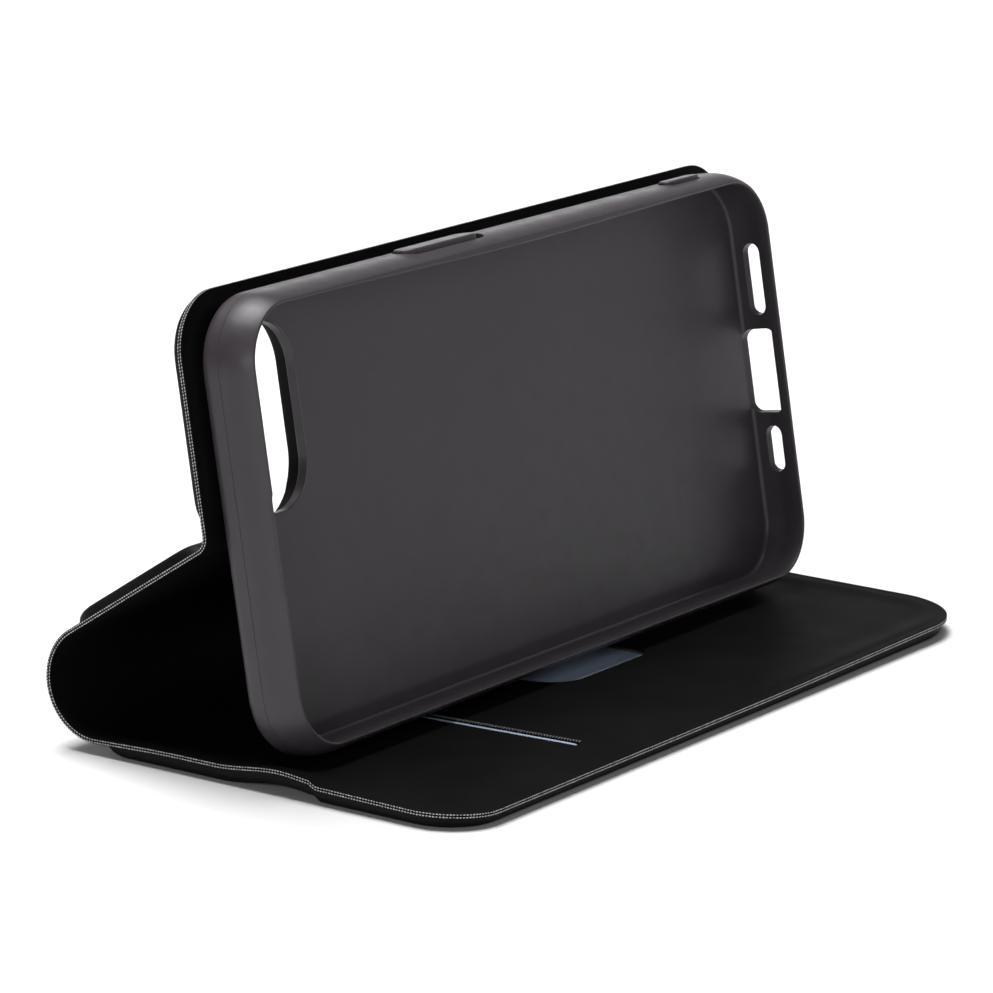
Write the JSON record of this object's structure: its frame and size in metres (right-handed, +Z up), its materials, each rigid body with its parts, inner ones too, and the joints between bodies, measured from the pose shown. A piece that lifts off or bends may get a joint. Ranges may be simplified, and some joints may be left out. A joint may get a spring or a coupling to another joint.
{
  "type": "phone wallet case",
  "caption": "Folding phone wallet case standing in landscape, with a moulded phone tray, a card pocket in the front cover and a soft spine.",
  "frame": {"origin": "centre of the footprint, on the surface that the front cover lies on", "axes": "+X along the phone's long side towards its charging port, +Y to the back, +Z up"},
  "size_m": [0.1652, 0.0842, 0.0798],
  "materials": {
    "cover_leather": "fine-grained synthetic leather, satin",
    "cover_lining": "smooth synthetic leather, matt",
    "pocket_fabric": "fine twill",
    "board": "pressed fibre board",
    "foam": "thin closed-cell foam",
    "thread": "stitched yarn",
    "magnet": "nickel plated",
    "adhesive": "double-sided foam tape",
    "spine_tape": "woven reinforcing tape",
    "tpu": "moulded, satin"
  },
  "bodies": {
    "front_cover": {"front_outer_skin": "cover_leather", "front_board": "board", "closure_magnets": "magnet", "pocket_lining": "pocket_fabric", "front_foam": "foam", "front_lining": "cover_lining", "slot_stitching": "thread"},
    "spine": {"spine_lining": "cover_lining", "spine_tape": "spine_tape", "spine_outer_skin": "cover_leather"},
    "flap": {"flap_outer_skin": "cover_leather", "flap_board": "board", "flap_lining": "cover_lining"},
    "phone_panel": {"crease_lining": "cover_lining", "crease_skin": "cover_leather", "panel_outer_skin": "cover_leather", "panel_board": "board", "keeper_magnets": "magnet", "panel_lining": "cover_lining", "tray_adhesive": "adhesive", "phone_shell": "tpu"},
    "volume_key": {"volume_key_pad": "tpu"},
    "power_key": {"power_key_pad": "tpu"}
  },
  "joints": [
    {"name": "spine_front_hinge", "type": "hinge", "parent": "front_cover", "child": "spine", "pos_m": [0, 0.03782, 0.00374], "axis": [1, 0, 0], "range_deg": [-73, 0], "deforming": ["spine_lining", "spine_tape", "spine_outer_skin"]},
    {"name": "spine_flap_hinge", "type": "hinge", "parent": "spine", "child": "flap", "pos_m": [0, 0.04139, 0.01543], "axis": [1, 0, 0], "range_deg": [-73, 0]},
    {"name": "crease_hinge", "type": "hinge", "parent": "flap", "child": "phone_panel", "pos_m": [0, 0.0094, 0.03904], "axis": [1, 0, 0], "range_deg": [0, 66.7], "deforming": ["crease_lining", "crease_skin"]},
    {"name": "volume_key_press", "type": "slide", "parent": "phone_panel", "child": "volume_key", "axis": [0, 0.184, 0.9829], "range_m": [-0.0004, 0], "stiffness_N_per_m": 800},
    {"name": "power_key_press", "type": "slide", "parent": "phone_panel", "child": "power_key", "axis": [0, 0.184, 0.9829], "range_m": [-0.0004, 0], "stiffness_N_per_m": 800}
  ],
  "couplings": [
    {"joint": "crease_hinge", "follows": "spine_flap_hinge", "ratio": -0.91233}
  ]
}
